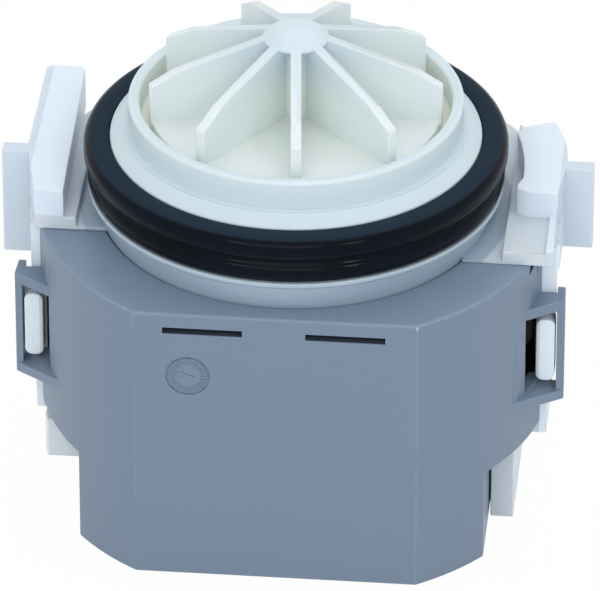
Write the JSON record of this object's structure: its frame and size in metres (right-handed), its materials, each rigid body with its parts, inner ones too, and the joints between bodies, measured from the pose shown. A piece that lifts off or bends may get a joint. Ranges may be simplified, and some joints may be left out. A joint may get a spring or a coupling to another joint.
{
  "type": "washer drain pump",
  "caption": "Bayonet-mounted drain pump of a washing appliance: an open vaned impeller over a rubber gasket, driven by a canned synchronous motor in a clipped plastic casing.",
  "frame": {"origin": "on the impeller's axis, at the flat foot of the motor casing", "axes": "+Z along the impeller's axis, from the motor to the impeller; -Y to the flat front of the grey cover; +X to the right as seen from that front"},
  "size_m": [0.098, 0.0795, 0.0848],
  "materials": {
    "cover_plastic": "satin",
    "body_plastic": "satin, slightly translucent",
    "gasket_rubber": "satin",
    "can_plastic": "gloss",
    "cap_plastic": "satin",
    "grommet_rubber": "matt",
    "bearing_bronze": "sintered",
    "lip_rubber": "satin",
    "washer_plastic": "satin",
    "shaft_steel": "ground",
    "magnet_ferrite": "ground",
    "sleeve_plastic": "satin",
    "driver_plastic": "satin",
    "damper_rubber": "matt",
    "impeller_plastic": "satin, slightly translucent",
    "core_steel": "stamped sheets",
    "bobbin_plastic": "satin",
    "winding_copper": "taped",
    "protector_shell": "gloss",
    "lead_plastic": "satin",
    "socket_plastic": "gloss",
    "blade_metal": "tinned"
  },
  "bodies": {
    "casing": {"pump_body": "body_plastic", "motor_cover": "cover_plastic", "seal_ring": "gasket_rubber", "rotor_can": "can_plastic", "bearing_cap": "cap_plastic", "front_grommet": "grommet_rubber", "front_bearing": "bearing_bronze", "rear_grommet": "grommet_rubber", "rear_bearing": "bearing_bronze", "shaft_seal": "lip_rubber", "front_core": "core_steel", "rear_core": "core_steel", "right_bobbin": "bobbin_plastic", "left_bobbin": "bobbin_plastic", "right_winding": "winding_copper", "left_winding": "winding_copper", "thermal_protector": "protector_shell", "link_lead": "lead_plastic", "connector_housing": "socket_plastic", "terminal_blades": "blade_metal"},
    "rotor": {"rotor_magnet": "magnet_ferrite", "magnet_sleeve": "sleeve_plastic"},
    "impeller_set": {"rotor_shaft": "shaft_steel", "impeller": "impeller_plastic", "drive_dog": "driver_plastic", "coupling_damper": "damper_rubber", "front_thrust_washer": "washer_plastic", "rear_thrust_washer": "washer_plastic"}
  },
  "joints": [
    {"name": "rotor_spin", "type": "hinge", "parent": "casing", "child": "rotor", "pos_m": [0, 0, 0.0334], "axis": [0, 0, 1], "continuous": true},
    {"name": "impeller_play", "type": "hinge", "parent": "rotor", "child": "impeller_set", "pos_m": [0, 0, 0.0475], "axis": [0, 0, 1], "range_deg": [-97, 97]}
  ]
}
